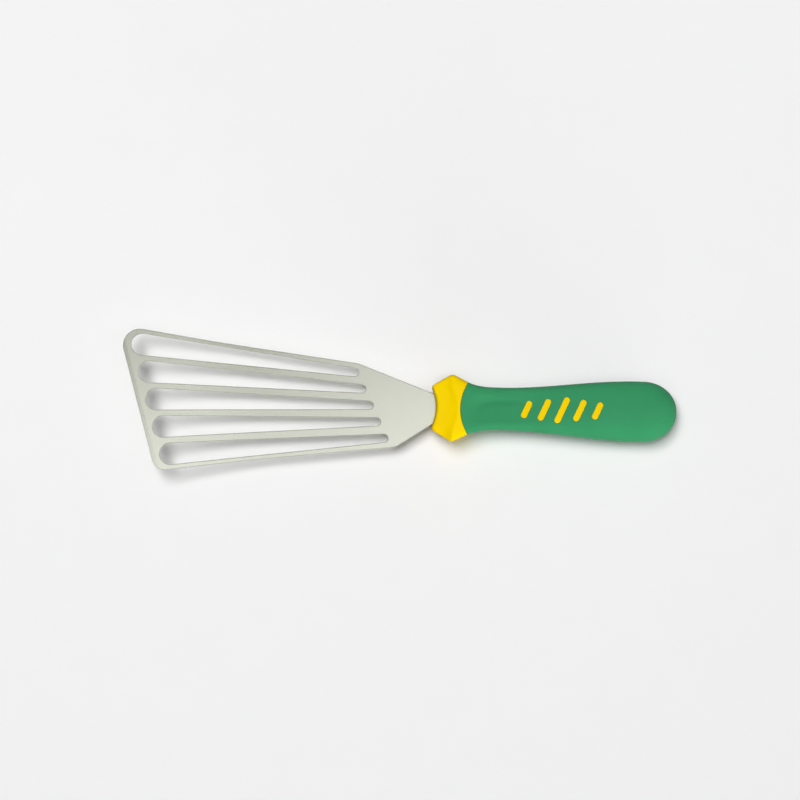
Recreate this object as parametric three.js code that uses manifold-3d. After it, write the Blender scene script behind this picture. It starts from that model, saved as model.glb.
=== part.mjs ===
// Slotted fish turner: a springy steel blade whose tang is moulded into a two-colour handle.
// Millimetres, +Z up. X runs from the blade's front edge to the handle's butt, Y runs across the blade.
// The shapes are drawn with X = 0 at the guard's front corners and Z = 0 in the middle of the steel.
import * as THREE from "three";
import { mergeVertices } from "three/addons/utils/BufferGeometryUtils.js";
import Module from "manifold-3d";

const wasm = await Module();
wasm.setup();

// Clearance between pieces that are moulded round each other
const fitGap = 0.3;

// Blade outline
const sheetThickness = 1.2;
const bladeLength = 158.6; // guard corners to the middle of the front edge
const frontSlant = THREE.MathUtils.degToRad(15.6);
const upperShoulderReach = 40.3;
const upperShoulderHalfWidth = 23.3;
const upperFlare = THREE.MathUtils.degToRad(7.46);
const lowerShoulderReach = 19.1;
const lowerShoulderHalfWidth = 21.9;
const lowerFlare = THREE.MathUtils.degToRad(6.22);
const tipFlare = THREE.MathUtils.degToRad(1.3); // extra spread of both sides near the front edge
const tipFlareRun = 50.6; // front edge to where that spread starts
const sideBendRadius = 1400;
const upperTipRadius = 9;
const lowerTipRadius = 7;
const shoulderRadius = 8;

// Upswept front with a ground edge
const sweepRun = 66; // front edge to the start of the bend
const sweepRadius = 250;
const grindWidth = 2.4;
const edgeThickness = 0.8;

// Drain slots
const slotCount = 5;
const slotSetback = 10.3; // front edge to the middle of each wide end
const slotEndSetback = 3.7; // line between the shoulders to the middle of each narrow end
const frontUpperRim = 3.1; // steel left between the outer slots and the sides, at the wide ends
const frontLowerRim = 2.5;
const rearUpperRim = 3.4; // the same at the narrow ends
const rearLowerRim = 3.1;
const frontBar = 3.3; // steel left between two slots
const rearBar = 4.6;

// Tang
const tangWall = 1.15; // core left beside the tang where the core is slimmest
const tangEndCover = 40.8; // tang's end to the butt
const tangRootAt = 5.2;
const tangRootRadius = 5;
const tangEndRadius = 3;
const lockHoleCount = 3;
const lockHoleDiameter = 5;
const lockHoleAt = 30; // guard corners to the first hole
const lockHoleEndRim = 14; // last hole to the tang's end

// Handle, guard included
const handleLength = 132.8;
const capLength = 18; // length of the rounded butt
const guardFrontWidth = 23.9;
const guardFrontHeight = 17.8;
const crestAt = 10.8;
const crestWidth = 37;
const crestHeight = 23;
const slabCurve = 4; // how late the guard's faces rise to the crest
const guardLength = 19.3;
const guardRearWidth = 28.4;
const guardRearHeight = 21.2;
const guardFrontRadius = 23;
const guardFrontHollow = 2.9;
const guardSquareness = 8; // superellipse exponent of the section
const neckAt = 39;
const neckWidth = 23.1;
const neckHeight = 19.8;
const neckSquareness = 3.8;
const neckCurve = 3.5; // how quickly the guard's flare dies out behind the guard
const bellySetback = 23.8; // widest section to the butt
const bellyWidth = 32.6;
const bellyHeight = 23;
const bellySquareness = 2.35;
const dishDepth = 2.4; // thumb dish behind the guard, on both faces
const dishHalfWidth = 6.5;
const dishFullAt = 32; // where it reaches that depth
const dishEnd = 66;

// Sleeve over the core
const gripWall = 2.6;
const gripNoseRadius = 25.6;
const gripNoseDepth = 3.9; // how far the nose pushes into the back of the guard
const grooveDepth = 1.2;
const grooveWidth = 5;
const neckGrooveSetback = 13.7; // guard's rear corners to the first groove
const bellyGrooveCover = 26.8; // last groove to the butt

// Yellow lands that show through the sleeve
const landCount = 5;
const landPitch = 9.5;
const landShift = -6; // from the middle of the sleeve to the middle land
const landWidth = 3.2;
const landLength = 15; // the middle land, end to end
const landTaper = 2.6; // each land is this much shorter than the one nearer the middle
const landSlant = THREE.MathUtils.degToRad(24);

// Mesh fineness
const arcSteps = 7;
const noseSteps = 18;
const skinSteps = 40;
const coreSteps = 24;
const capSteps = 7;
const guardRingSpacing = 3.3;
const gripRingSpacing = 7;
const coreRingSpacing = 10;
const cutterReach = 60; // how far cutters run past the object

const { lerp, smoothstep } = THREE.MathUtils;
const tangLength = handleLength - tangEndCover;
const tangWidth = neckWidth - 2 * (gripWall + grooveDepth + 2 * fitGap + tangWall);
const bellyAt = handleLength - bellySetback;

function heading(angle) {
  return new THREE.Vector2(Math.cos(angle), Math.sin(angle));
}

// Point where the line through p along a crosses the line through q along b
function meet(p, a, q, b) {
  const distance = q.clone().sub(p).cross(b) / a.cross(b);
  return p.clone().addScaledVector(a, distance);
}

// Evenly spaced values after "from", up to and including "to"
function steps(from, to, spacing) {
  const count = Math.ceil((to - from) / spacing);
  return Array.from({ length: count }, (_, i) => lerp(from, to, (i + 1) / count));
}

// Closed outline through corners given as [point, radius], each corner rounded by an arc
function roundedShape(corners) {
  const shape = new THREE.Shape();
  corners.forEach(([corner, radius], i) => {
    const [before] = corners.at(i - 1);
    const [after] = corners[(i + 1) % corners.length];
    const back = before.clone().sub(corner).normalize();
    const ahead = after.clone().sub(corner).normalize();
    const turn = Math.sign(ahead.cross(back));
    const halfAngle = Math.acos(back.dot(ahead)) / 2;
    const middle = back.clone().add(ahead).normalize();
    const center = corner.clone().addScaledVector(middle, radius / Math.sin(halfAngle));
    const startAngle = Math.atan2(back.x, -back.y) + (turn > 0 ? 0 : Math.PI);
    const sweep = turn * (Math.PI - 2 * halfAngle);
    shape.absarc(center.x, center.y, radius, startAngle, startAngle + sweep, turn < 0);
  });
  shape.closePath();
  return shape;
}

// Outline of a slot that tapers from radius ra round a to radius rb round b
function taperedSlot(a, ra, b, rb) {
  const along = b.clone().sub(a);
  const tangent = Math.acos((ra - rb) / along.length());
  const angle = along.angle();
  const slot = new THREE.Path();
  slot.absarc(a.x, a.y, ra, angle + tangent, angle - tangent + 2 * Math.PI);
  slot.absarc(b.x, b.y, rb, angle - tangent, angle + tangent);
  slot.closePath();
  return slot;
}

function solidOf(geometry) {
  geometry.deleteAttribute("normal");
  geometry.deleteAttribute("uv");
  const welded = mergeVertices(geometry);
  const vertProperties = welded.getAttribute("position").array;
  const triVerts = Uint32Array.from(welded.getIndex().array);
  return new wasm.Manifold(new wasm.Mesh({ numProp: 3, vertProperties, triVerts }));
}

// Upright prism of an outline between two heights, larger all round by "grow"
function prism(shape, bottom, top, grow = 0, curveSegments = arcSteps) {
  const geometry = new THREE.ExtrudeGeometry(shape, {
    depth: top - bottom,
    curveSegments,
    bevelEnabled: grow > 0,
    bevelSize: 0,
    bevelOffset: grow,
    bevelThickness: grow,
    bevelSegments: 1,
  });
  return solidOf(geometry.translate(0, 0, bottom));
}

// Skin over a row of rings of points, closed by a flat face at the start and a point at the end
function loft(rings, tip) {
  const count = rings[0].length;
  const tipIndex = rings.length * count;
  const faces = [];
  for (let r = 0; r < rings.length; r++) {
    for (let i = 0; i < count; i++) {
      const here = r * count + i;
      const next = r * count + ((i + 1) % count);
      if (r === rings.length - 1) {
        faces.push(here, next, tipIndex);
      } else {
        faces.push(here, next, next + count, here, next + count, here + count);
      }
    }
  }
  for (let i = 1; i < count - 1; i++) {
    faces.push(0, i + 1, i);
  }
  const geometry = new THREE.BufferGeometry().setFromPoints([...rings.flat(), tip]);
  geometry.setIndex(faces);
  return solidOf(geometry);
}

// Blade plan: corners, slots and lock holes

const upperShoulder = new THREE.Vector2(-upperShoulderReach, upperShoulderHalfWidth);
const lowerShoulder = new THREE.Vector2(-lowerShoulderReach, -lowerShoulderHalfWidth);
const upperSide = heading(Math.PI - upperFlare);
const lowerSide = heading(Math.PI + lowerFlare);
const upperFront = heading(Math.PI - upperFlare - tipFlare);
const lowerFront = heading(Math.PI + lowerFlare + tipFlare);
const frontMiddle = new THREE.Vector2(-bladeLength, 0);
const frontEdge = heading(-Math.PI / 2 + frontSlant); // from the upper corner to the lower one
const frontInward = heading(frontSlant);
const flareStart = frontMiddle.clone().addScaledVector(frontInward, tipFlareRun);
const upperBend = meet(flareStart, frontEdge, upperShoulder, upperSide);
const lowerBend = meet(flareStart, frontEdge, lowerShoulder, lowerSide);
const upperTip = meet(frontMiddle, frontEdge, upperBend, upperFront);
const lowerTip = meet(frontMiddle, frontEdge, lowerBend, lowerFront);

// Centres and radius of the slot ends on a line across the blade, from its upper side to its lower side
function slotEnds(start, across, upper, lower, bar) {
  const lean = Math.abs(across.y);
  const from = meet(start, across, ...upper.side).addScaledVector(across, upper.rim / lean);
  const to = meet(start, across, ...lower.side).addScaledVector(across, -lower.rim / lean);
  const gap = bar / lean;
  const width = (from.distanceTo(to) - (slotCount - 1) * gap) / slotCount;
  const centers = Array.from({ length: slotCount }, (_, i) => {
    return from.clone().addScaledVector(across, width / 2 + i * (width + gap));
  });
  return { centers, radius: (width * lean) / 2 };
}

function slotPaths() {
  const frontStart = frontMiddle.clone().addScaledVector(frontInward, slotSetback);
  const wide = slotEnds(
    frontStart,
    frontEdge,
    { side: [upperBend, upperFront], rim: frontUpperRim },
    { side: [lowerBend, lowerFront], rim: frontLowerRim },
    frontBar,
  );
  const shoulderLine = lowerShoulder.clone().sub(upperShoulder).normalize();
  const forward = new THREE.Vector2(shoulderLine.y, -shoulderLine.x);
  const rearStart = upperShoulder.clone().addScaledVector(forward, slotEndSetback);
  const narrow = slotEnds(
    rearStart,
    shoulderLine,
    { side: [upperShoulder, upperSide], rim: rearUpperRim },
    { side: [lowerShoulder, lowerSide], rim: rearLowerRim },
    rearBar,
  );
  return wide.centers.map((center, i) => taperedSlot(center, wide.radius, narrow.centers[i], narrow.radius));
}

function lockHolePaths() {
  const pitch = (tangLength - lockHoleEndRim - lockHoleAt) / (lockHoleCount - 1);
  return Array.from({ length: lockHoleCount }, (_, i) => {
    const hole = new THREE.Path();
    hole.absarc(lockHoleAt + i * pitch, 0, lockHoleDiameter / 2, 0, 2 * Math.PI);
    return hole;
  });
}

function bladePlan() {
  const halfTang = tangWidth / 2;
  const plan = roundedShape([
    [lowerTip, lowerTipRadius],
    [lowerBend, sideBendRadius],
    [lowerShoulder, shoulderRadius],
    [new THREE.Vector2(tangRootAt, -halfTang), tangRootRadius],
    [new THREE.Vector2(tangLength, -halfTang), tangEndRadius],
    [new THREE.Vector2(tangLength, halfTang), tangEndRadius],
    [new THREE.Vector2(tangRootAt, halfTang), tangRootRadius],
    [upperShoulder, shoulderRadius],
    [upperBend, sideBendRadius],
    [upperTip, upperTipRadius],
  ]);
  plan.holes.push(...slotPaths(), ...lockHolePaths());
  return plan;
}

// The sheet seen along the front edge: flat at the rear, an arc that rises to the front, a ground top face.
// Its first coordinate is the distance behind the front edge.
function sheetProfile() {
  const half = sheetThickness / 2;
  const underRadius = sweepRadius + half;
  const overRadius = sweepRadius - half;
  const under = (u) => sweepRadius - Math.sqrt(underRadius ** 2 - (sweepRun - u) ** 2);
  const over = (u) => sweepRadius - Math.sqrt(overRadius ** 2 - (sweepRun - u) ** 2);
  const grindSlope = (over(grindWidth) - under(0) - edgeThickness) / grindWidth;
  const underSlope = (under(grindWidth) - under(0)) / grindWidth;
  const tipReach = edgeThickness / (grindSlope - underSlope); // from the edge to where both faces would meet
  const underAngle = Math.asin((sweepRun + tipReach) / underRadius);
  const overAngle = Math.asin((sweepRun - grindWidth) / overRadius);
  const rear = bladeLength + tangLength + cutterReach;
  const down = -Math.PI / 2;
  const profile = new THREE.Shape();
  profile.moveTo(rear, half);
  profile.lineTo(sweepRun, half);
  profile.absarc(sweepRun, sweepRadius, overRadius, down, down - overAngle, true);
  profile.absarc(sweepRun, sweepRadius, underRadius, down - underAngle, down, false);
  profile.lineTo(rear, -half);
  profile.closePath();
  return profile;
}

function bladeSolid(plan) {
  const sheet = new THREE.ExtrudeGeometry(sheetProfile(), {
    depth: 2 * bladeLength,
    curveSegments: arcSteps,
    bevelEnabled: false,
  });
  const along = new THREE.Vector3(frontInward.x, frontInward.y, 0);
  const up = new THREE.Vector3(0, 0, 1);
  sheet.translate(0, 0, -bladeLength);
  sheet.applyMatrix4(new THREE.Matrix4().makeBasis(along, up, along.clone().cross(up)));
  sheet.translate(frontMiddle.x, frontMiddle.y, 0);
  return prism(plan, -cutterReach, cutterReach).intersect(solidOf(sheet));
}

// Handle skin

// A width or height of the handle at x, from its values at the guard's front, crest and rear, neck and belly
function handleSize(x, front, crest, rear, neck, belly, rise = 1) {
  if (x < crestAt) {
    return lerp(front, crest, (x / crestAt) ** rise);
  }
  if (x < guardLength) {
    return lerp(crest, rear, (x - crestAt) / (guardLength - crestAt));
  }
  if (x < neckAt) {
    return neck + (rear - neck) * ((neckAt - x) / (neckAt - guardLength)) ** neckCurve;
  }
  return lerp(neck, belly, smoothstep(x, neckAt, bellyAt));
}

function squarenessAt(x) {
  const ahead = lerp(guardSquareness, neckSquareness, smoothstep(x, crestAt, neckAt));
  return lerp(ahead, bellySquareness, smoothstep(x, neckAt, bellyAt));
}

function dishAt(x) {
  const dishStart = guardLength - gripNoseDepth;
  return dishDepth * smoothstep(x, dishStart, dishFullAt) * (1 - smoothstep(x, neckAt, dishEnd));
}

// Shift along X that makes the guard's crest run parallel to the guard's hollow front
function crestBow(x, y) {
  const reach = Math.sqrt(Math.max(0, guardFrontRadius ** 2 - y ** 2));
  const hollow = Math.max(0, guardFrontHollow - guardFrontRadius + reach);
  const share = x < crestAt ? x / crestAt : (guardLength - x) / (guardLength - crestAt);
  return hollow * Math.max(0, share);
}

// Section of the handle at x, smaller all round by "inset". The outer skin has the dish pressed into it and
// follows the bowed crest; inner sections are straight and lower by the dish's depth.
function handleRing(x, inset, count, capScale = 1) {
  const width = handleSize(x, guardFrontWidth, crestWidth, guardRearWidth, neckWidth, bellyWidth);
  const heights = [guardFrontHeight, crestHeight, guardRearHeight, neckHeight, bellyHeight];
  const height = handleSize(x, ...heights, slabCurve);
  const dish = dishAt(x);
  const halfWidth = (width / 2 - inset) * capScale;
  const halfHeight = (height / 2 - inset - (inset > 0 ? dish : 0)) * capScale;
  const power = squarenessAt(x);
  return Array.from({ length: count }, (_, i) => {
    const angle = (2 * Math.PI * i) / count;
    const reach = (Math.abs(Math.cos(angle)) ** power + Math.abs(Math.sin(angle)) ** power) ** (-1 / power);
    const y = halfWidth * reach * Math.cos(angle);
    const sunk = inset > 0 ? 0 : dish * Math.exp(-((y / dishHalfWidth) ** 2));
    const bowed = inset > 0 ? 0 : crestBow(x, y);
    return new THREE.Vector3(x + bowed, y, (halfHeight - sunk) * reach * Math.sin(angle));
  });
}

// Rings of the rounded butt, and the point that closes it
function buttRings(inset, count) {
  const end = handleLength - inset;
  const cap = capLength - inset;
  const rings = Array.from({ length: capSteps }, (_, i) => {
    const angle = (i * Math.PI) / 2 / capSteps;
    return handleRing(end - cap + cap * Math.sin(angle), inset, count, Math.cos(angle));
  });
  return { rings, tip: new THREE.Vector3(end, 0, 0) };
}

function handleSkin() {
  const capAt = handleLength - capLength;
  const places = [
    0,
    ...steps(0, crestAt, guardRingSpacing),
    ...steps(crestAt, guardLength, guardRingSpacing),
    ...steps(guardLength, neckAt, guardRingSpacing),
    ...steps(neckAt, capAt, gripRingSpacing).slice(0, -1),
  ];
  const butt = buttRings(0, skinSteps);
  const rings = places.map((x) => handleRing(x, 0, skinSteps));
  return loft([...rings, ...butt.rings], butt.tip);
}

// The inner stick, from the guard's crest to the butt, with its grooves. The sleeve's cavity is cut with a
// larger stick whose grooves are narrower by "play" at each end, so that its ribs fit the real grooves.
function stick(inset, play) {
  const places = [[crestAt, 0], [guardLength, 0]];
  for (const groove of [guardLength + neckGrooveSetback, handleLength - bellyGrooveCover]) {
    const start = groove - grooveWidth / 2 + play;
    const end = groove + grooveWidth / 2 - play;
    const [before] = places.at(-1);
    steps(before, start, coreRingSpacing).forEach((x) => places.push([x, 0]));
    places.push([start, grooveDepth], [end, grooveDepth], [end, 0]);
  }
  const butt = buttRings(inset, coreSteps);
  const rings = places.map(([x, depth]) => handleRing(x, inset + depth, coreSteps));
  return loft([...rings, ...butt.rings], butt.tip);
}

// Plan of the sleeve: a round nose that pushes into the guard, then everything behind it
function sleevePlan() {
  const centerAt = guardLength - gripNoseDepth + gripNoseRadius;
  const plan = new THREE.Shape();
  plan.absarc(centerAt, 0, gripNoseRadius, Math.PI / 2, (3 * Math.PI) / 2);
  plan.lineTo(handleLength + cutterReach, -gripNoseRadius);
  plan.lineTo(handleLength + cutterReach, gripNoseRadius);
  plan.closePath();
  return plan;
}

// Plans of the yellow lands: slanted bars with round ends, longest in the middle of the row
function landPlans() {
  const rowMiddle = (guardLength + handleLength) / 2 + landShift;
  return Array.from({ length: landCount }, (_, i) => {
    const place = i - (landCount - 1) / 2;
    const length = landLength - landTaper * Math.abs(place);
    const middle = new THREE.Vector2(rowMiddle + place * landPitch, 0);
    const reach = heading(Math.PI / 2 - landSlant).multiplyScalar((length - landWidth) / 2);
    const ends = [middle.clone().sub(reach), middle.clone().add(reach)];
    return new THREE.Shape(taperedSlot(ends[0], landWidth / 2, ends[1], landWidth / 2).getPoints(arcSteps));
  });
}

const bladeOutline = bladePlan();
const skin = handleSkin();
const sleeve = sleevePlan();
const lands = landPlans();

function coreSolid() {
  const hollow = new THREE.Shape();
  hollow.absarc(guardFrontHollow - guardFrontRadius, 0, guardFrontRadius, 0, 2 * Math.PI);
  const guard = skin
    .subtract(prism(hollow, -cutterReach, cutterReach, 0, noseSteps))
    .subtract(prism(sleeve, -cutterReach, cutterReach, fitGap, noseSteps));
  const raised = lands.map((plan) => prism(plan, 0, cutterReach).intersect(skin));
  const whole = raised.reduce((solid, land) => solid.add(land), guard.add(stick(gripWall + fitGap, 0)));
  const half = sheetThickness / 2;
  return whole.subtract(prism(bladeOutline, -half, half, fitGap));
}

function gripSolid() {
  const shell = skin
    .intersect(prism(sleeve, -cutterReach, cutterReach, 0, noseSteps))
    .subtract(stick(gripWall, fitGap));
  return lands.reduce((solid, plan) => solid.subtract(prism(plan, 0, cutterReach, fitGap)), shell);
}

function piece(name, solid, finish) {
  const { vertProperties, triVerts } = solid.getMesh();
  const geometry = new THREE.BufferGeometry();
  geometry.setAttribute("position", new THREE.BufferAttribute(vertProperties, 3));
  geometry.setIndex(new THREE.BufferAttribute(triVerts, 1));
  const mesh = new THREE.Mesh(geometry, new THREE.MeshStandardMaterial(finish));
  mesh.name = name;
  return mesh;
}

const handle = new THREE.Group();
handle.add(piece("handle_core", coreSolid(), { color: 0xf1cc15, roughness: 0.45, metalness: 0 }));
handle.add(piece("soft_grip", gripSolid(), { color: 0x3e9662, roughness: 0.6, metalness: 0 }));

const turner = new THREE.Group();
turner.add(piece("blade", bladeSolid(bladeOutline), { color: 0xc9cbc0, roughness: 0.3, metalness: 1 }));
turner.add(handle);

// The finished tool stands on z = 0 with its box centred on the origin
const box = new THREE.Box3().setFromObject(turner);
const center = box.getCenter(new THREE.Vector3());
turner.position.set(-center.x, -center.y, -box.min.z);

export default turner;
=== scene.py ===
import math

import bpy
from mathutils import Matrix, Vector


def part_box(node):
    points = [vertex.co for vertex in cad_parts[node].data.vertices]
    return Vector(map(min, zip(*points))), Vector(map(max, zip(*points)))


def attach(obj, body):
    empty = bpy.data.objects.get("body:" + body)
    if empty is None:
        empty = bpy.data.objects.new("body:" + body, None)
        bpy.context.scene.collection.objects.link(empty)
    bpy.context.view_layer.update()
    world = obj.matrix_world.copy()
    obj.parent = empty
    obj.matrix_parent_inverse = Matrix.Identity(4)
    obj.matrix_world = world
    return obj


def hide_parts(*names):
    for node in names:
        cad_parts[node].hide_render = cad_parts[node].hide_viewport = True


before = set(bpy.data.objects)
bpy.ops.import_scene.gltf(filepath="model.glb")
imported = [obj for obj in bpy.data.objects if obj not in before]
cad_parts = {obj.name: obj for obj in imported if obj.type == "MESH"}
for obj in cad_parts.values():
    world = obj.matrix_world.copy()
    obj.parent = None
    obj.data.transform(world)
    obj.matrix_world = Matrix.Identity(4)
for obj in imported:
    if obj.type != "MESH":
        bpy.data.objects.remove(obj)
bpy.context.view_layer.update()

# The turner is drawn in millimetres, with X = 0 at the guard's front corners, Y = 0 on the handle's middle
# line and Z = 0 in the middle of the steel. The CAD core says where that point is in the frame.
core_low, core_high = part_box("handle_core")
drawing_origin = Vector((core_low.x, (core_low.y + core_high.y) / 2, (core_low.z + core_high.z) / 2))
mm = 0.001

# Blade outline
sheet_thickness = 1.2
edge_rounding = 0.35
blade_length = 158.6
front_slant = math.radians(15.6)
upper_shoulder = Vector((-40.3, 23.3))
lower_shoulder = Vector((-19.1, -21.9))
upper_flare = math.radians(7.46)
lower_flare = math.radians(6.22)
tip_flare = math.radians(1.3)
tip_flare_run = 50.6
side_bend_radius = 1400
upper_tip_radius = 9
lower_tip_radius = 7
shoulder_radius = 8

# Upswept front with a ground edge
sweep_run = 66
sweep_radius = 250
sweep_cuts = 33
grind_width = 2.4
edge_thickness = 0.8

# Drain slots
slot_count = 5
slot_setback = 10.3
slot_end_setback = 3.7
front_rims = (3.1, 2.5)
rear_rims = (3.4, 3.1)
front_bar = 3.3
rear_bar = 4.6

# Tang inside the handle
tang_length = 92
tang_width = 12
tang_root_at = 5.2
tang_root_radius = 5
tang_end_radius = 3
lock_hole_radius = 2.5
lock_holes_at = (30, 54, 78)
tang_clearance = 0.1

# Handle sections: their places along X, then widths and heights at the guard's front, crest and rear, the
# neck and the belly
crest_at = 10.8
guard_length = 19.3
neck_at = 39
belly_at = 109
handle_length = 132.8
cap_length = 18
handle_widths = (23.9, 37, 28.4, 23.1, 32.6)
handle_heights = (17.8, 23, 21.2, 19.8, 23)
slab_curve = 4
peak_rounding = 1.6
crest_rounding = 0.9
neck_curve = 3.5
guard_squareness = 8
neck_squareness = 3.8
belly_squareness = 2.35
dish_depth = 2.4
dish_half_width = 6.5
dish_full_at = 32
dish_end = 66

# Guard front, and the curve where the sleeve meets the guard
front_radius = 23
front_hollow = 2.9
front_lean = 0.8
front_lean_power = 4  # how late the lean dies out to the sides
front_rim_radius = 1.6
front_corner_radius = 1.0
nose_radius = 25.6
nose_depth = 3.9
seam = 0.1
seam_rim_radius = 0.35
nose_fade_at = 31

# Sleeve wall and the grooves that lock it
grip_wall = 2.6
core_clearance = 0.1
groove_depth = 1.2
groove_width = 5
grooves_at = (33, 106)
stick_fade_run = 4  # guard's rear corners to the stick's first straight section

# Raised lands that show through the sleeve
land_count = 5
land_pitch = 9.5
land_row_middle = 70.05
land_width = 3.2
land_length = 15
land_taper = 2.6
land_slant = math.radians(24)
land_seam = 0.12
land_reach = 20

# Mesh fineness
ring_sides = 144
arc_step = math.radians(6)
edge_steps = 2
ring_spacing = 2.2
hidden_ring_spacing = 6
cap_rings = 26
front_face_shares = (0, 0.1, 0.22, 0.36, 0.5, 0.64, 0.78, 0.9, 0.97)
front_rim_count = 9
slab_count = 10
crest_count = 9
fall_count = 9
seam_rim_count = 6
nose_count = 14
stick_start_count = 4
pocket_shares = (0.35, 0.7)
crest_averages = 6  # places averaged on each side of one
section_tries = 9
sheet_smooth_angle = math.radians(10)
moulding_smooth_angle = math.radians(32)
weld_distance = 0.0005

# Studio, in metres
floor_size = 2.4
cove_start = 0.4  # middle of the floor to where the paper starts to fade into the wall
cove_end = 1.1
camera_height = 1.1
view_width = 0.43384
view_middle = (-0.00017, 0.00222)
view_turn = math.radians(1.12)
panel_turn = math.radians(21)

# Brightness of the room, where 1 is white
wall_brightness = 0.9
ceiling_brightness = 0.2
wall_top = 0.1  # upward part of a direction, from 0 at the horizon to 1 straight up
ceiling_start = 0.8
room_glow = 0.045  # the light that the room throws on things

# Range that holds most values of a noise pattern
noise_low = 0.3
noise_high = 0.7


def mix(start, end, share):
    return start + (end - start) * share


def smoothstep(value, start, end):
    share = min(1, max(0, (value - start) / (end - start)))
    return share * share * (3 - 2 * share)


def steps(start, end, spacing):
    count = math.ceil((end - start) / spacing)
    return [mix(start, end, i / count) for i in range(count + 1)]


def heading(angle):
    return Vector((math.cos(angle), math.sin(angle)))


def select_only(piece):
    bpy.ops.object.select_all(action="DESELECT")
    piece.select_set(True)
    bpy.context.view_layer.objects.active = piece


# Flat outlines


def meet(p, a, q, b):
    """Point where the line through p along a crosses the line through q along b."""
    return p + a * ((q - p).cross(b) / a.cross(b))


def arc(center, radius, start, sweep):
    count = max(2, math.ceil(abs(sweep) / arc_step))
    return [center + radius * heading(start + sweep * i / count) for i in range(count + 1)]


def rounded_outline(corners):
    """Closed outline through corners given as (point, radius), each corner rounded by an arc."""
    points = []
    for i, (corner, radius) in enumerate(corners):
        back = (corners[i - 1][0] - corner).normalized()
        ahead = (corners[(i + 1) % len(corners)][0] - corner).normalized()
        turn = math.copysign(1, ahead.cross(back))
        half_angle = math.acos(back.dot(ahead)) / 2
        center = corner + (back + ahead).normalized() * radius / math.sin(half_angle)
        start = math.atan2(back.x, -back.y) + (0 if turn > 0 else math.pi)
        points += arc(center, radius, start, turn * (math.pi - 2 * half_angle))
    return points


def tapered_outline(a, radius_a, b, radius_b):
    """Outline that tapers from a round end at a to a round end at b."""
    along = b - a
    tangent = math.acos((radius_a - radius_b) / along.length)
    angle = math.atan2(along.y, along.x)
    wide = arc(a, radius_a, angle + tangent, 2 * (math.pi - tangent))
    return wide + arc(b, radius_b, angle - tangent, 2 * tangent)


def slot_ends(start, across, upper, lower, rims, bar):
    """Centres and radius of the slot ends on a line across the blade."""
    lean = abs(across.y)
    first = meet(start, across, *upper) + across * rims[0] / lean
    last = meet(start, across, *lower) - across * rims[1] / lean
    gap = bar / lean
    width = ((last - first).length - (slot_count - 1) * gap) / slot_count
    centers = [first + across * (width / 2 + i * (width + gap)) for i in range(slot_count)]
    return centers, width * lean / 2


front_middle = Vector((-blade_length, 0))
front_edge = heading(front_slant - math.pi / 2)
front_inward = heading(front_slant)


def blade_outlines():
    upper_side = heading(math.pi - upper_flare)
    lower_side = heading(math.pi + lower_flare)
    upper_front = heading(math.pi - upper_flare - tip_flare)
    lower_front = heading(math.pi + lower_flare + tip_flare)
    flare_start = front_middle + front_inward * tip_flare_run
    upper_bend = meet(flare_start, front_edge, upper_shoulder, upper_side)
    lower_bend = meet(flare_start, front_edge, lower_shoulder, lower_side)
    half_tang = tang_width / 2
    outline = rounded_outline([
        (meet(front_middle, front_edge, lower_bend, lower_front), lower_tip_radius),
        (lower_bend, side_bend_radius),
        (lower_shoulder, shoulder_radius),
        (Vector((tang_root_at, -half_tang)), tang_root_radius),
        (Vector((tang_length, -half_tang)), tang_end_radius),
        (Vector((tang_length, half_tang)), tang_end_radius),
        (Vector((tang_root_at, half_tang)), tang_root_radius),
        (upper_shoulder, shoulder_radius),
        (upper_bend, side_bend_radius),
        (meet(front_middle, front_edge, upper_bend, upper_front), upper_tip_radius),
    ])
    wide_start = front_middle + front_inward * slot_setback
    wide_ends, wide_radius = slot_ends(
        wide_start, front_edge, (upper_bend, upper_front), (lower_bend, lower_front), front_rims, front_bar
    )
    shoulder_line = (lower_shoulder - upper_shoulder).normalized()
    forward = Vector((shoulder_line.y, -shoulder_line.x))
    narrow_start = upper_shoulder + forward * slot_end_setback
    narrow_ends, narrow_radius = slot_ends(
        narrow_start,
        shoulder_line,
        (upper_shoulder, upper_side),
        (lower_shoulder, lower_side),
        rear_rims,
        rear_bar,
    )
    slots = [
        tapered_outline(wide, wide_radius, narrow, narrow_radius)
        for wide, narrow in zip(wide_ends, narrow_ends)
    ]
    holes = [arc(Vector((x, 0)), lock_hole_radius, 0, 2 * math.pi)[:-1] for x in lock_holes_at]
    return [outline, *slots, *holes]


def land_outlines():
    """Slanted bars with round ends, longest in the middle of the row."""
    outlines = []
    for i in range(land_count):
        place = i - (land_count - 1) / 2
        length = land_length - land_taper * abs(place)
        middle = Vector((land_row_middle + place * land_pitch, 0))
        reach = heading(math.pi / 2 - land_slant) * (length - land_width) / 2
        outlines.append(tapered_outline(middle - reach, land_width / 2, middle + reach, land_width / 2))
    return outlines


def plate(name, outlines, thickness, rounding=0.0, grow=0.0):
    """Flat plate from closed outlines, holes included, with rounded edges."""
    curve = bpy.data.curves.new(name, "CURVE")
    curve.dimensions = "2D"
    curve.fill_mode = "BOTH"
    curve.extrude = thickness / 2 - rounding
    curve.bevel_depth = rounding
    curve.bevel_resolution = edge_steps
    curve.offset = grow - rounding
    for outline in outlines:
        spline = curve.splines.new("POLY")
        spline.points.add(len(outline) - 1)
        spline.use_cyclic_u = True
        for point, place in zip(spline.points, outline):
            point.co = (place.x, place.y, 0, 1)
    piece = bpy.data.objects.new(name, curve)
    bpy.context.collection.objects.link(piece)
    select_only(piece)
    bpy.ops.object.convert(target="MESH")
    piece = bpy.context.object
    weld(piece)
    return piece


def weld(piece):
    select_only(piece)
    bpy.ops.object.mode_set(mode="EDIT")
    bpy.ops.mesh.select_all(action="SELECT")
    bpy.ops.mesh.remove_doubles(threshold=weld_distance)
    bpy.ops.object.mode_set(mode="OBJECT")


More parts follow.
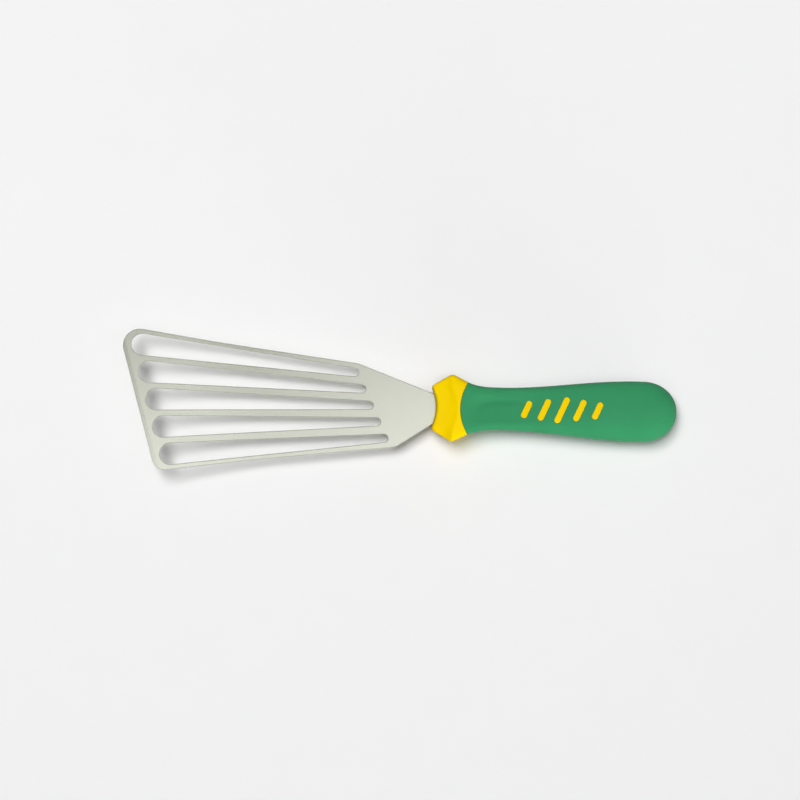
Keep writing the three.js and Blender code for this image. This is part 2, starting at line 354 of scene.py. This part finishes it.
def joined(piece, other, operation):
    """Adds the other solid to the piece, cuts it away or keeps what both share; the other is used up."""
    select_only(piece)
    modifier = piece.modifiers.new(operation.lower(), "BOOLEAN")
    modifier.operation = operation
    modifier.solver = "EXACT"
    modifier.object = other
    bpy.ops.object.modifier_apply(modifier=modifier.name)
    bpy.data.objects.remove(other)


def raise_by(piece, height):
    for vertex in piece.data.vertices:
        vertex.co.z += height


# Blade


def sheet_faces(u):
    """Heights of the sheet's under and top face at a distance u behind the front edge."""
    half = sheet_thickness / 2
    rise = max(0, sweep_run - u)
    under = sweep_radius - math.sqrt((sweep_radius + half) ** 2 - rise ** 2)
    over = sweep_radius - math.sqrt((sweep_radius - half) ** 2 - rise ** 2)
    return under, over


def make_blade():
    blade = plate("spring_blade", blade_outlines(), sheet_thickness, edge_rounding)
    across = Vector((front_inward.x, front_inward.y, 0))
    bpy.ops.object.mode_set(mode="EDIT")
    for u in [grind_width, *(sweep_run * (i + 1) / sweep_cuts for i in range(sweep_cuts))]:
        place = front_middle + front_inward * u
        bpy.ops.mesh.select_all(action="SELECT")
        bpy.ops.mesh.bisect(plane_co=(place.x, place.y, 0), plane_no=across)
    bpy.ops.object.mode_set(mode="OBJECT")
    tip_under, _ = sheet_faces(0)
    _, grind_top = sheet_faces(grind_width)
    for vertex in blade.data.vertices:
        u = (vertex.co.to_2d() - front_middle).dot(front_inward)
        under, over = sheet_faces(u)
        if u < grind_width:
            over = mix(tip_under + edge_thickness, grind_top, u / grind_width)
        vertex.co.z = mix(under, over, vertex.co.z / sheet_thickness + 0.5)
    return blade


# Handle


def sharp_span(x, spans, rise):
    """A width or height of the handle at x, with a sharp crest on the guard."""
    front, crest, rear, neck, belly = spans
    if x < crest_at:
        return mix(front, crest, (x / crest_at) ** rise)
    if x < guard_length:
        return mix(crest, rear, (x - crest_at) / (guard_length - crest_at))
    if x < neck_at:
        return neck + (rear - neck) * ((neck_at - x) / (neck_at - guard_length)) ** neck_curve
    return mix(neck, belly, smoothstep(x, neck_at, belly_at))


def handle_span(x, spans, rise, rounding):
    """The same with the crest rounded off, by averaging round it."""
    if abs(x - crest_at) > rounding:
        return sharp_span(x, spans, rise)
    places = [x + rounding * i / crest_averages for i in range(-crest_averages, crest_averages + 1)]
    return sum(sharp_span(place, spans, rise) for place in places) / len(places)


def width_at(x):
    return handle_span(x, handle_widths, 1, peak_rounding)


def height_at(x):
    return handle_span(x, handle_heights, slab_curve, crest_rounding)


def dish_at(x):
    dish_start = guard_length - nose_depth
    return dish_depth * smoothstep(x, dish_start, dish_full_at) * (1 - smoothstep(x, neck_at, dish_end))


def squareness_at(x):
    """Superellipse exponent of the section at x."""
    front = mix(guard_squareness, neck_squareness, smoothstep(x, crest_at, neck_at))
    return mix(front, belly_squareness, smoothstep(x, neck_at, belly_at))


def superellipse(angle, power):
    """Point at an angle on a superellipse that reaches 1 along both axes."""
    across = math.cos(angle)
    up = math.sin(angle)
    reach = (abs(across) ** power + abs(up) ** power) ** (-1 / power)
    return across * reach, up * reach


# Curves across the handle: each gives X at a distance Y from the middle line


def front_curve(y):
    return max(0, front_hollow - front_radius + math.sqrt(front_radius ** 2 - min(abs(y), front_radius) ** 2))


def crest_curve(y):
    return crest_at + front_curve(y)


def nose_curve(y):
    reach = math.sqrt(nose_radius ** 2 - min(abs(y), nose_radius) ** 2)
    return guard_length - nose_depth + nose_radius - reach


def straight(x):
    return lambda y: x


def moved(curve, distance):
    return lambda y: curve(y) + distance


def section_at(x, y):
    """Section that passes x, y once the guard's crest is bowed to run parallel to the hollow front."""
    hollow = front_curve(y)
    if x < crest_at + hollow:
        return x * crest_at / (crest_at + hollow)
    if x < guard_length:
        fall = guard_length - crest_at
        return guard_length - (guard_length - x) * fall / (fall - hollow)
    return x


def ring(curve, inset=0.0, scale=1.0, hidden=False, side_inset=None):
    """Ring of the handle's skin along a curve, or of the same shape inside it; hidden rings have no dish."""
    side_inset = inset if side_inset is None else side_inset

    def point(angle):
        y = 0
        for _ in range(section_tries):
            x = curve(y)
            place = x if hidden else section_at(x, y)
            across, up = superellipse(angle, squareness_at(place))
            y = (width_at(place) / 2 - side_inset) * scale * across
        dish = dish_at(place) * (1 if hidden else math.exp(-((y / dish_half_width) ** 2)))
        half_height = (height_at(place) / 2 - inset - dish) * scale
        return Vector((x, y, half_height * up))

    return point


def flat_ring(x, inset=0.0, scale=1.0, hidden=False):
    return ring(straight(x), inset, scale, hidden)


def between(first, last, share):
    return lambda angle: first(angle).lerp(last(angle), share)


def rings_between(first, last, count, inset=0.0, hidden=False):
    """Rings that turn from one curve into another, without those two."""
    shares = [i / count for i in range(1, count)]
    return [ring(lambda y, s=share: mix(first(y), last(y), s), inset, hidden=hidden) for share in shares]


def front_face_ring(share):
    """Ring of the guard's hollow front face, which leans back from the blade to its rim."""
    rim = ring(front_curve, front_rim_radius, side_inset=front_corner_radius)
    half_width = handle_widths[0] / 2
    half_height = handle_heights[0] / 2

    def point(angle):
        place = rim(angle) * share
        upright = 1 - min(1, abs(place.z) / half_height)
        sideways = 1 - min(1, abs(place.y) / half_width) ** front_lean_power
        return Vector((front_curve(place.y) - front_lean * (upright * sideways), place.y, place.z))

    return point


def rim_rings(curve, radius, side, side_radius, count=seam_rim_count):
    """Quarter-round edge where the skin meets the face at a curve; side is +1 if the skin runs to +X."""
    rings = []
    for i in range(count):
        angle = math.pi / 2 * i / (count - 1)
        setback = side * radius * (1 - math.sin(angle))
        depth = 1 - math.cos(angle)
        rings.append(ring(moved(curve, setback), radius * depth, side_inset=side_radius * depth))
    return rings


def butt_rings(inset, count, hidden=False):
    end = handle_length - inset
    cap = cap_length - inset
    angles = [math.pi / 2 * i / count for i in range(count + 1)]
    return [flat_ring(end - cap + cap * math.sin(a), inset, math.cos(a), hidden) for a in angles]


def stick_rings(inset, clearance, curve):
    """The inner stick with its grooves, from the curve behind the guard to the butt."""
    reached = guard_length + stick_fade_run
    rings = [ring(curve, inset, hidden=True)]
    rings += rings_between(curve, straight(reached), stick_start_count, inset, hidden=True)
    for groove in grooves_at:
        start = groove - groove_width / 2 + clearance
        end = groove + groove_width / 2 - clearance
        rings += [flat_ring(x, inset, hidden=True) for x in steps(reached, start, hidden_ring_spacing)]
        rings += [flat_ring(x, inset + groove_depth, hidden=True) for x in (start, end)]
        reached = end
    return rings + [flat_ring(reached, inset, hidden=True)] + butt_rings(inset, cap_rings // 2, hidden=True)


def tube(name, rings):
    """A cylinder cut into rings, and each ring moved to its section. Its end rings are points."""
    bpy.ops.object.select_all(action="DESELECT")
    bpy.ops.mesh.primitive_cylinder_add(
        vertices=ring_sides, radius=1, depth=1, end_fill_type="NOTHING", rotation=(0, math.pi / 2, 0)
    )
    piece = bpy.context.object
    piece.name = name
    piece.data.name = name
    bpy.ops.object.transform_apply(location=False, rotation=True, scale=False)
    bpy.ops.object.mode_set(mode="EDIT")
    bpy.ops.mesh.select_mode(type="EDGE")
    bpy.ops.mesh.select_all(action="DESELECT")
    bpy.ops.object.mode_set(mode="OBJECT")
    for edge in piece.data.edges:
        start, end = (piece.data.vertices[i].co for i in edge.vertices)
        edge.select = abs(start.x - end.x) > 0.5  # those that run along the cylinder
    bpy.ops.object.mode_set(mode="EDIT")
    bpy.ops.mesh.subdivide_edgering(number_cuts=len(rings) - 2, interpolation="LINEAR")
    bpy.ops.object.mode_set(mode="OBJECT")
    for vertex in piece.data.vertices:
        place = rings[round((vertex.co.x + 0.5) * (len(rings) - 1))]
        vertex.co = place(math.atan2(vertex.co.z, vertex.co.y))
    weld(piece)
    return piece


def nose_rings():
    """The sleeve's skin between its nose and its first straight section."""
    return rings_between(moved(nose_curve, seam_rim_radius), straight(nose_fade_at), nose_count)


def handle_rings():
    """The handle's skin from there to the butt."""
    places = steps(nose_fade_at, handle_length - cap_length, ring_spacing)[:-1]
    return [flat_ring(x) for x in places] + butt_rings(0, cap_rings)


def make_core():
    crest_start = moved(crest_curve, -crest_rounding)
    crest_end = moved(crest_curve, crest_rounding)
    rear_curve = moved(nose_curve, -seam)
    face = [front_face_ring(share) for share in front_face_shares]
    front_rim = rim_rings(front_curve, front_rim_radius, 1, front_corner_radius, front_rim_count)[::-1]
    slab = rings_between(moved(front_curve, front_rim_radius), crest_start, slab_count)
    crest = rings_between(crest_start, crest_end, crest_count)
    fall = rings_between(crest_end, moved(rear_curve, -seam_rim_radius), fall_count)
    rear_rim = rim_rings(rear_curve, seam_rim_radius, -1, seam_rim_radius)
    stick = stick_rings(grip_wall + core_clearance, 0, rear_curve)
    pocket = [between(rear_rim[-1], stick[0], share) for share in pocket_shares]
    core = tube("guard_and_core", [*face, *front_rim, *slab, *crest, *fall, *rear_rim, *pocket, *stick])
    lands = plate("lands", land_outlines(), land_reach)
    raise_by(lands, land_reach / 2)
    joined(lands, tube("land_tops", [flat_ring(nose_fade_at, scale=0), *handle_rings()]), "INTERSECT")
    joined(core, lands, "UNION")
    tang_room_height = sheet_thickness + 2 * tang_clearance
    tang_room = plate("tang_room", blade_outlines(), tang_room_height, grow=tang_clearance)
    joined(core, tang_room, "DIFFERENCE")
    return core


def make_grip():
    cavity = stick_rings(grip_wall, core_clearance, nose_curve)[::-1]
    nose_rim = rim_rings(nose_curve, seam_rim_radius, 1, seam_rim_radius)[::-1]
    mouth = [between(cavity[-1], nose_rim[0], share) for share in pocket_shares]
    grip = tube("soft_sleeve", [*cavity, *mouth, *nose_rim, *nose_rings(), *handle_rings()])
    windows = plate("windows", land_outlines(), land_reach, grow=land_seam)
    raise_by(windows, land_reach / 2)
    joined(grip, windows, "DIFFERENCE")
    return grip


# Materials


def linear(code):
    """Linear colour of an sRGB hex value."""
    channels = [int(code[i:i + 2], 16) / 255 for i in (1, 3, 5)]
    return (*(c / 12.92 if c <= 0.04045 else ((c + 0.055) / 1.055) ** 2.4 for c in channels), 1)


def add_node(tree, kind, inputs=None, **settings):
    """New node with its settings; an input takes a value, or an output socket to link."""
    node = tree.nodes.new(kind)
    for name, value in settings.items():
        setattr(node, name, value)
    for name, value in (inputs or {}).items():
        if isinstance(value, bpy.types.NodeSocket):
            tree.links.new(value, node.inputs[name])
        else:
            node.inputs[name].default_value = value
    return node


def new_material(name):
    material = bpy.data.materials.new(name)
    material.use_nodes = True
    tree = material.node_tree
    return material, tree, tree.nodes["Principled BSDF"]


def per_metre(size):
    """Noise scale for a pattern whose grains are this many millimetres."""
    return 1 / (size * mm)


def make_spring_steel():
    # Cold-rolled stainless spring steel, satin ground along its length: soft reflections, fine streaks
    material, tree, shader = new_material("satin_stainless_spring_steel")
    place = add_node(tree, "ShaderNodeTexCoord").outputs["Object"]
    grind_length = 38
    grind_line = 0.45  # real lines are finer; this is as fine as shows
    cloud_size = 30
    stretched = add_node(
        tree,
        "ShaderNodeMapping",
        {"Vector": place, "Scale": (per_metre(grind_length), per_metre(grind_line), per_metre(grind_line))},
    ).outputs["Vector"]
    streaks = add_node(
        tree, "ShaderNodeTexNoise", {"Vector": stretched, "Scale": 1, "Detail": 3, "Roughness": 0.6}
    ).outputs["Fac"]
    clouds = add_node(
        tree, "ShaderNodeTexNoise", {"Vector": place, "Scale": per_metre(cloud_size), "Detail": 2}
    ).outputs["Fac"]
    tone = add_node(
        tree, "ShaderNodeMixRGB", {"Fac": clouds, "Color1": linear("#d6d8cb"), "Color2": linear("#dfe1d4")}
    )
    streaked = add_node(
        tree,
        "ShaderNodeMixRGB",
        {"Fac": streaks, "Color1": tone.outputs["Color"], "Color2": linear("#dbddd0")},
    )
    rough = add_node(
        tree,
        "ShaderNodeMapRange",
        {"Value": streaks, "From Min": noise_low, "From Max": noise_high, "To Min": 0.24, "To Max": 0.27},
    )
    bump = add_node(tree, "ShaderNodeBump", {"Height": streaks, "Strength": 0.03, "Distance": 0.02 * mm})
    tree.links.new(streaked.outputs["Color"], shader.inputs["Base Color"])
    tree.links.new(rough.outputs["Result"], shader.inputs["Roughness"])
    tree.links.new(bump.outputs["Normal"], shader.inputs["Normal"])
    shader.inputs["Metallic"].default_value = 1
    return material


def make_core_plastic():
    # Injection-moulded polypropylene, lightly polished mould: saturated colour, soft broad gloss
    material, tree, shader = new_material("moulded_yellow_polypropylene")
    place = add_node(tree, "ShaderNodeTexCoord").outputs["Object"]
    flow_size = 9
    grain_size = 0.9  # the real grain is finer; this is as fine as shows
    flow = add_node(
        tree, "ShaderNodeTexNoise", {"Vector": place, "Scale": per_metre(flow_size), "Detail": 2}
    ).outputs["Fac"]
    grain = add_node(
        tree, "ShaderNodeTexNoise", {"Vector": place, "Scale": per_metre(grain_size), "Detail": 2}
    ).outputs["Fac"]
    tone = add_node(
        tree, "ShaderNodeMixRGB", {"Fac": flow, "Color1": linear("#f5ce00"), "Color2": linear("#fad600")}
    )
    rough = add_node(
        tree,
        "ShaderNodeMapRange",
        {"Value": grain, "From Min": noise_low, "From Max": noise_high, "To Min": 0.4, "To Max": 0.5},
    )
    bump = add_node(tree, "ShaderNodeBump", {"Height": grain, "Strength": 0.05, "Distance": 0.05 * mm})
    tree.links.new(tone.outputs["Color"], shader.inputs["Base Color"])
    tree.links.new(rough.outputs["Result"], shader.inputs["Roughness"])
    tree.links.new(bump.outputs["Normal"], shader.inputs["Normal"])
    shader.inputs["IOR"].default_value = 1.49
    shader.inputs["Specular IOR Level"].default_value = 0.12
    return material


def make_grip_rubber():
    # Overmoulded thermoplastic elastomer from a spark-eroded mould: matt, with a fine even grain
    material, tree, shader = new_material("soft_touch_green_elastomer")
    place = add_node(tree, "ShaderNodeTexCoord").outputs["Object"]
    flow_size = 14
    grain_size = 0.6  # the real grain is finer; this is as fine as shows
    flow = add_node(
        tree, "ShaderNodeTexNoise", {"Vector": place, "Scale": per_metre(flow_size), "Detail": 2}
    ).outputs["Fac"]
    grain = add_node(
        tree, "ShaderNodeTexNoise", {"Vector": place, "Scale": per_metre(grain_size), "Detail": 3}
    ).outputs["Fac"]
    tone = add_node(
        tree, "ShaderNodeMixRGB", {"Fac": flow, "Color1": linear("#358d5d"), "Color2": linear("#3a9564")}
    )
    rough = add_node(
        tree,
        "ShaderNodeMapRange",
        {"Value": grain, "From Min": noise_low, "From Max": noise_high, "To Min": 0.55, "To Max": 0.7},
    )
    bump = add_node(tree, "ShaderNodeBump", {"Height": grain, "Strength": 0.12, "Distance": 0.08 * mm})
    tree.links.new(tone.outputs["Color"], shader.inputs["Base Color"])
    tree.links.new(rough.outputs["Result"], shader.inputs["Roughness"])
    tree.links.new(bump.outputs["Normal"], shader.inputs["Normal"])
    shader.inputs["IOR"].default_value = 1.5
    shader.inputs["Specular IOR Level"].default_value = 0.2
    return material


def seen_rays(tree):
    """1 for what the camera sees, also mirrored or through glass, and 0 for light thrown on things."""
    ray = add_node(tree, "ShaderNodeLightPath").outputs
    mirrored = add_node(
        tree, "ShaderNodeMath", {0: ray["Is Camera Ray"], 1: ray["Is Glossy Ray"]}, operation="MAXIMUM"
    ).outputs[0]
    return add_node(
        tree, "ShaderNodeMath", {0: mirrored, 1: ray["Is Transmission Ray"]}, operation="MAXIMUM"
    ).outputs[0]


def make_paper():
    # Matt background paper: pale to the eye and in reflections, while it throws little light back up.
    # Past the turner and its shadow it fades into the wall, as in a studio cove.
    material, tree, shader = new_material("matt_background_paper")
    place = add_node(tree, "ShaderNodeTexCoord").outputs["Object"]
    cloud_size = 25
    clouds = add_node(
        tree, "ShaderNodeTexNoise", {"Vector": place, "Scale": per_metre(cloud_size), "Detail": 3}
    ).outputs["Fac"]
    tone = add_node(
        tree, "ShaderNodeMixRGB", {"Fac": clouds, "Color1": linear("#f1f1f1"), "Color2": linear("#f3f3f3")}
    )
    seen = seen_rays(tree)
    shown = add_node(
        tree, "ShaderNodeMixRGB", {"Fac": seen, "Color1": linear("#404040"), "Color2": tone.outputs["Color"]}
    )
    reach = add_node(tree, "ShaderNodeVectorMath", {0: place}, operation="LENGTH").outputs["Value"]
    cove = add_node(
        tree,
        "ShaderNodeMapRange",
        {"Value": reach, "From Min": cove_start, "From Max": cove_end},
        interpolation_type="SMOOTHSTEP",
    ).outputs["Result"]
    share = add_node(tree, "ShaderNodeMath", {0: cove, 1: seen}, operation="MULTIPLY").outputs[0]
    wall = add_node(tree, "ShaderNodeEmission", {"Strength": wall_brightness}).outputs["Emission"]
    surface = add_node(tree, "ShaderNodeMixShader", {0: share, 1: shader.outputs["BSDF"], 2: wall})
    tree.links.new(surface.outputs["Shader"], tree.nodes["Material Output"].inputs["Surface"])
    tree.links.new(shown.outputs["Color"], shader.inputs["Base Color"])
    shader.inputs["Roughness"].default_value = 0.9
    shader.inputs["Specular IOR Level"].default_value = 0.2
    return material


# Put together


def settle(piece, node, material, smooth_angle):
    """Scales the finished piece to metres, moves it into the frame, gives it its material, hangs it on the
    root body and hides its CAD node.
    """
    piece.scale = (mm, mm, mm)
    piece.location = drawing_origin
    select_only(piece)
    bpy.ops.object.transform_apply(location=True, rotation=True, scale=True)
    bpy.ops.object.shade_smooth_by_angle(angle=smooth_angle)
    even = piece.modifiers.new("even_shading", "WEIGHTED_NORMAL")
    even.keep_sharp = True
    bpy.ops.object.modifier_apply(modifier=even.name)
    piece.data.materials.clear()
    piece.data.materials.append(material)
    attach(piece, "root")
    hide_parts(node)


settle(make_blade(), "blade", make_spring_steel(), sheet_smooth_angle)
settle(make_core(), "handle_core", make_core_plastic(), moulding_smooth_angle)
settle(make_grip(), "soft_grip", make_grip_rubber(), moulding_smooth_angle)

# Floor, light and camera

bpy.ops.object.select_all(action="DESELECT")
bpy.ops.mesh.primitive_plane_add(size=floor_size, location=(0, 0, 0))
floor = bpy.context.object
floor.name = "floor"
floor.data.materials.append(make_paper())


def add_softbox(name, place, width, depth, power):
    """Rectangular softbox that faces the middle of the table."""
    light = bpy.data.lights.new(name, "AREA")
    light.shape = "RECTANGLE"
    light.size = width
    light.size_y = depth
    light.energy = power
    softbox = bpy.data.objects.new(name, light)
    softbox.location = place
    softbox.rotation_euler = (-Vector(place)).to_track_quat("-Z", "Y").to_euler()
    bpy.context.collection.objects.link(softbox)
    return softbox


# The key softbox throws the shadow down and to the right, and a low fill brightens the lower sides. The
# steel mirrors the edge of a level ceiling panel and, in the upsweep, a dim strip that follows the front edge.
key = add_softbox("key_softbox", place=(-0.74, 1.0, 3.72), width=1.7, depth=1.7, power=131.5)
key.visible_glossy = False
fill = add_softbox("fill_softbox", place=(1.5, -2.9, 0.14), width=4.0, depth=0.16, power=118)
fill.visible_glossy = False
panel = add_softbox("ceiling_panel", place=(0.68, -0.27, 3.0), width=4.0, depth=1.2, power=18.4)
panel.rotation_euler = (0, 0, panel_turn)
strip = add_softbox("front_strip", place=(0.42, 0.3, 3.0), width=0.25, depth=1.6, power=0.48)
strip.rotation_euler = (0, 0, front_slant)

# A room with pale walls and a dim ceiling, to the eye and in reflections, that adds little light of its own
world = bpy.data.worlds.new("pale_room")
scene = bpy.context.scene
scene.world = world
world.use_nodes = True
room = world.node_tree
direction = add_node(room, "ShaderNodeTexCoord").outputs["Generated"]
height = add_node(room, "ShaderNodeSeparateXYZ", {"Vector": direction}).outputs["Z"]
walls = add_node(
    room,
    "ShaderNodeMapRange",
    {
        "Value": height,
        "From Min": wall_top,
        "From Max": ceiling_start,
        "To Min": wall_brightness,
        "To Max": ceiling_brightness,
    },
    interpolation_type="SMOOTHSTEP",
)
shown = add_node(
    room, "ShaderNodeMix", {"Factor": seen_rays(room), "A": room_glow, "B": walls.outputs["Result"]}
)
room_light = room.nodes["Background"]
room_light.inputs["Color"].default_value = (1, 1, 1, 1)
room.links.new(shown.outputs["Result"], room_light.inputs["Strength"])

# The camera looks straight down on the middle of the turner, as in the photograph
camera_data = bpy.data.cameras.new("camera")
camera_data.sensor_width = 36
camera_data.lens = camera_data.sensor_width * camera_height / view_width
camera = bpy.data.objects.new("camera", camera_data)
camera.location = (*view_middle, drawing_origin.z + camera_height)
camera.rotation_euler = (0, 0, view_turn)
bpy.context.collection.objects.link(camera)
scene.camera = camera
scene.view_settings.view_transform = "Standard"
